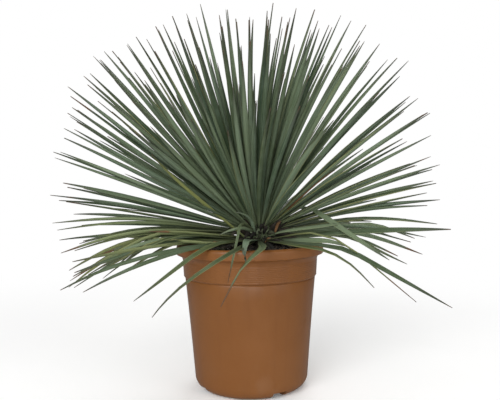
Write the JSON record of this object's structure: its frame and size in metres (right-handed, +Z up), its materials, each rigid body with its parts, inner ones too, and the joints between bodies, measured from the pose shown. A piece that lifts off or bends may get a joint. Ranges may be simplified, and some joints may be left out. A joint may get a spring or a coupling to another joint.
{
  "type": "potted yucca",
  "caption": "Narrow-leaved yucca with a dense round head of stiff pointed leaves on a short trunk, in a ribbed terracotta-coloured nursery pot.",
  "frame": {"origin": "centre of the pot's flat underside, on the surface that it stands on", "axes": "+Z up along the pot's axis; -Y is the side that the picture shows; +X to the right of it"},
  "size_m": [0.6662, 0.6811, 0.6716],
  "materials": {
    "terracotta_plastic": "satin moulded plastic in a terracotta brown, fine turned ridges on the collar",
    "potting_mix": "dark damp fibrous potting mix",
    "trunk_bark": "dull brown fibrous bark with dry leaf bases",
    "leaf_green": "waxy grey-green with fine lengthwise lines and thin yellowish margins"
  },
  "bodies": {
    "root": {"pot": "terracotta_plastic", "soil": "potting_mix", "trunk": "trunk_bark", "leaf_head": "leaf_green"}
  },
  "joints": []
}
